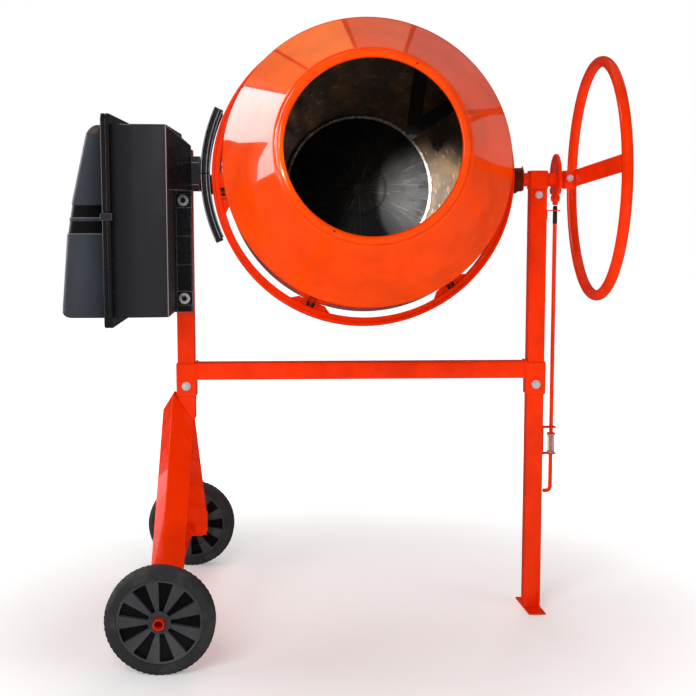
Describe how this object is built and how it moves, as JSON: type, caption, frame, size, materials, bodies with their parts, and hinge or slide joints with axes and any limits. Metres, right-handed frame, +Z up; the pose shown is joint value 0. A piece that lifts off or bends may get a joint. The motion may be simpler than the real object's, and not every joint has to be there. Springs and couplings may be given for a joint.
{
  "type": "concrete mixer",
  "caption": "Tilting-drum concrete mixer: orange steel drum on a yoke in a two-upright stand with wheels, a belt and ring-gear drive in a black motor box, and a tilting handwheel with a lock.",
  "frame": {"origin": "ground plane under the middle of the machine's bounding box", "axes": "+Z up; +X from the motor box to the handwheel, along the tilt pivot; the drum's mouth faces -Y and 7.4 degrees up"},
  "size_m": [1.171, 0.8554, 1.314],
  "materials": {
    "drum_paint": "glossy orange enamel",
    "frame_paint": "semi-gloss red-orange powder coat",
    "black_plastic": "fine moulded grain",
    "rubber": "matt",
    "zinc_steel": "bright zinc plate",
    "bare_steel": "turned steel",
    "dark_steel": "dark rolled steel",
    "start_green": "gloss",
    "stop_red": "gloss"
  },
  "bodies": {
    "frame": {"left_upright": "frame_paint", "right_leg": "frame_paint", "leg_foot": "frame_paint", "crossbar": "frame_paint", "left_clamp": "frame_paint", "right_clamp": "frame_paint", "front_wheel_leg": "frame_paint", "rear_wheel_leg": "frame_paint", "wheel_axle": "frame_paint", "left_bearing_housing": "frame_paint", "right_bearing_cap": "frame_paint", "rod_bracket": "frame_paint", "rod_guide": "frame_paint", "left_bearing_cover": "black_plastic", "housing_inner": "black_plastic", "housing_outer": "black_plastic", "housing_clip": "black_plastic", "switch_body": "black_plastic", "power_inlet": "black_plastic", "drive_belt": "rubber", "left_clamp_bolt": "zinc_steel", "right_clamp_bolt": "zinc_steel", "bearing_cap_bolt": "zinc_steel", "housing_bolt_upper": "zinc_steel", "housing_bolt_lower": "zinc_steel", "motor_bracket": "zinc_steel", "lock_spring": "bare_steel", "motor": "dark_steel"},
    "drum": {"drum_upper": "drum_paint", "drum_lower": "drum_paint", "drum_base": "dark_steel", "ring_gear": "drum_paint", "drum_hub": "bare_steel", "drum_bearing": "bare_steel", "base_bolt": "zinc_steel", "mixing_blade_a": "dark_steel", "mixing_blade_b": "dark_steel"},
    "yoke": {"yoke": "dark_steel", "drum_spindle": "bare_steel", "pinion_guard_upper": "black_plastic", "pinion_guard_lower": "black_plastic", "pinion_bearing": "bare_steel", "tilt_tube": "frame_paint", "lock_disc": "frame_paint", "handwheel_rim": "frame_paint", "handwheel_spoke": "frame_paint", "handwheel_bolt": "zinc_steel"},
    "pinion": {"drive_pinion": "dark_steel", "pinion_shaft": "bare_steel", "large_pulley": "bare_steel"},
    "motor_rotor": {"motor_shaft": "bare_steel", "motor_pulley": "bare_steel"},
    "front_wheel": {"front_wheel_rim": "black_plastic", "front_wheel_tyre": "rubber"},
    "rear_wheel": {"rear_wheel_rim": "black_plastic", "rear_wheel_tyre": "rubber"},
    "lock_rod": {"lock_rod": "frame_paint"},
    "start_button": {"start_button": "start_green"},
    "stop_button": {"stop_button": "stop_red"}
  },
  "joints": [
    {"name": "tilt", "type": "hinge", "parent": "frame", "child": "yoke", "pos_m": [0.04796, 0.01173, 0.98], "axis": [1, 0, 0], "range_deg": [-75, 50]},
    {"name": "drum_spin", "type": "hinge", "parent": "yoke", "child": "drum", "pos_m": [0.04796, 0.01173, 0.98], "axis": [0, -0.9916, 0.1295], "continuous": true},
    {"name": "pinion_spin", "type": "hinge", "parent": "yoke", "child": "pinion", "pos_m": [0.04796, 0.01173, 0.98], "axis": [1, 0, 0], "continuous": true},
    {"name": "motor_spin", "type": "hinge", "parent": "frame", "child": "motor_rotor", "pos_m": [0.04796, 0.01173, 0.775], "axis": [1, 0, 0], "continuous": true},
    {"name": "front_wheel_roll", "type": "hinge", "parent": "frame", "child": "front_wheel", "pos_m": [-0.37054, -0.36827, 0.1094], "axis": [0, 1, 0], "continuous": true},
    {"name": "rear_wheel_roll", "type": "hinge", "parent": "frame", "child": "rear_wheel", "pos_m": [-0.37054, 0.39173, 0.1094], "axis": [0, 1, 0], "continuous": true},
    {"name": "lock_slide", "type": "slide", "parent": "frame", "child": "lock_rod", "axis": [0, 0, 1], "range_m": [0, 0.011], "deforming": ["lock_spring"]},
    {"name": "start_press", "type": "slide", "parent": "frame", "child": "start_button", "axis": [0, -1, 0], "range_m": [0, 0.003], "stiffness_N_per_m": 600},
    {"name": "stop_press", "type": "slide", "parent": "frame", "child": "stop_button", "axis": [0, -1, 0], "range_m": [0, 0.003], "stiffness_N_per_m": 600}
  ],
  "couplings": [
    {"joint": "pinion_spin", "follows": "drum_spin", "ratio": 9},
    {"joint": "motor_spin", "follows": "drum_spin", "ratio": 36.955}
  ]
}
